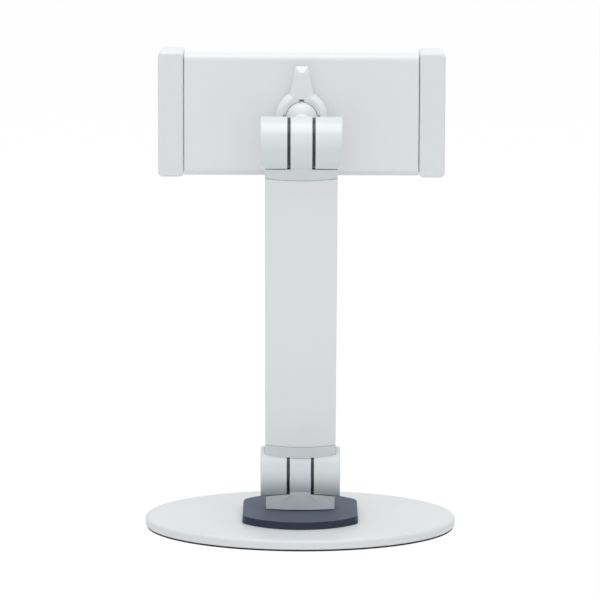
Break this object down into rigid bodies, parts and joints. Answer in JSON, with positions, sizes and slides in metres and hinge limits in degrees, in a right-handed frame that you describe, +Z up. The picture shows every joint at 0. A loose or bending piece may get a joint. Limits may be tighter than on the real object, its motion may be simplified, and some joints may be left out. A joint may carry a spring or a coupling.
{
  "type": "tablet desk mount",
  "caption": "Desk mount for a tablet: oval weighted base with a swivel, leaning column between friction hinges, clamped ball joint and a sprung holder with opposed jaws.",
  "frame": {"origin": "centre of the non-slip pad's underside, on the desk", "axes": "+Z up; -Y is the side that the picture shows, behind the holder; +X to the right seen from there; +Y the way the tablet's screen faces"},
  "size_m": [0.172, 0.1385, 0.266],
  "materials": {
    "white_steel": "white powder coat on steel, satin",
    "black_rubber": "black, matt",
    "dark_coat": "slate grey powder coat, matt",
    "steel": "zinc plated steel",
    "spring_steel": "dark spring steel",
    "white_aluminium": "white powder coat on aluminium, satin",
    "cap_aluminium": "white powder coat on cast aluminium, satin",
    "washer_plastic": "grey filled plastic",
    "seat_plastic": "grey acetal",
    "white_plastic": "white, fine satin",
    "gloss_white": "white, gloss",
    "white_ball": "white coat on steel, gloss",
    "grey_rubber": "grey silicone, matt"
  },
  "bodies": {
    "base": {"base_plate": "white_steel", "nonslip_pad": "black_rubber", "puck": "dark_coat", "puck_pins": "steel"},
    "foot": {"hinge_foot": "white_aluminium", "swivel_bolt": "steel", "swivel_washer": "spring_steel", "glide_washer": "washer_plastic"},
    "column": {"lower_cap": "cap_aluminium", "column_tube": "white_aluminium", "upper_cap": "cap_aluminium", "lower_hinge_bolt": "steel", "lower_hinge_nut": "steel", "lower_disc_springs": "spring_steel", "lower_friction_washers": "washer_plastic", "lower_barrel_plugs": "cap_aluminium"},
    "yoke": {"yoke": "cap_aluminium", "ball_stud": "white_ball", "upper_hinge_bolt": "steel", "upper_hinge_nut": "steel", "upper_disc_springs": "spring_steel", "upper_friction_washers": "washer_plastic", "upper_barrel_plugs": "cap_aluminium"},
    "seat_cup": {"ball_cup": "seat_plastic"},
    "seat_ring": {"ball_ring": "seat_plastic"},
    "holder": {"ball_socket": "white_plastic", "socket_screws": "steel", "back_cover": "white_plastic", "front_cover": "white_plastic", "cover_screws": "steel", "front_pad": "grey_rubber", "pinion_pin": "steel", "jaw_spring": "spring_steel"},
    "wing_nut": {"wing_nut": "gloss_white"},
    "left_jaw": {"left_jaw": "white_plastic", "left_jaw_pad": "grey_rubber", "left_slider": "white_plastic", "left_slider_screws": "steel"},
    "right_jaw": {"right_jaw": "white_plastic", "right_jaw_pad": "grey_rubber", "right_slider": "white_plastic", "right_slider_screws": "steel"},
    "pinion": {"pinion": "seat_plastic"}
  },
  "joints": [
    {"name": "base_swivel", "type": "hinge", "parent": "base", "child": "foot", "pos_m": [0, 0, 0.0108], "axis": [0, 0, 1], "continuous": true},
    {"name": "lower_hinge", "type": "hinge", "parent": "foot", "child": "column", "pos_m": [0, 0, 0.0308], "axis": [1, 0, 0], "range_deg": [-107, 73]},
    {"name": "upper_hinge", "type": "hinge", "parent": "column", "child": "yoke", "pos_m": [0, -0.05847, 0.22206], "axis": [-1, 0, 0], "range_deg": [-157, 23]},
    {"name": "ball_tilt", "type": "hinge", "parent": "yoke", "child": "seat_cup", "pos_m": [0, -0.02596, 0.232], "axis": [1, 0, 0], "range_deg": [-5, 38]},
    {"name": "ball_pan", "type": "hinge", "parent": "seat_cup", "child": "seat_ring", "pos_m": [0, -0.02596, 0.232], "axis": [0, 0, 1], "range_deg": [-12, 12]},
    {"name": "ball_roll", "type": "hinge", "parent": "seat_ring", "child": "holder", "pos_m": [0, -0.02596, 0.232], "axis": [0, 1, 0], "continuous": true},
    {"name": "wing_nut_turn", "type": "hinge", "parent": "holder", "child": "wing_nut", "pos_m": [0, -0.02596, 0.232], "axis": [0, -1, 0], "range_deg": [0, 150]},
    {"name": "left_jaw_slide", "type": "slide", "parent": "holder", "child": "left_jaw", "axis": [-1, 0, 0], "range_m": [0, 0.038], "stiffness_N_per_m": 150, "springref_m": -0.03},
    {"name": "right_jaw_slide", "type": "slide", "parent": "holder", "child": "right_jaw", "axis": [1, 0, 0], "range_m": [0, 0.038]},
    {"name": "pinion_turn", "type": "hinge", "parent": "holder", "child": "pinion", "pos_m": [0, -0.02596, 0.232], "axis": [0, -1, 0], "range_deg": [0, 273], "deforming": ["jaw_spring"]}
  ],
  "couplings": [
    {"joint": "right_jaw_slide", "follows": "left_jaw_slide", "ratio": 1},
    {"joint": "pinion_turn", "follows": "left_jaw_slide", "rad_per_m": 125}
  ]
}
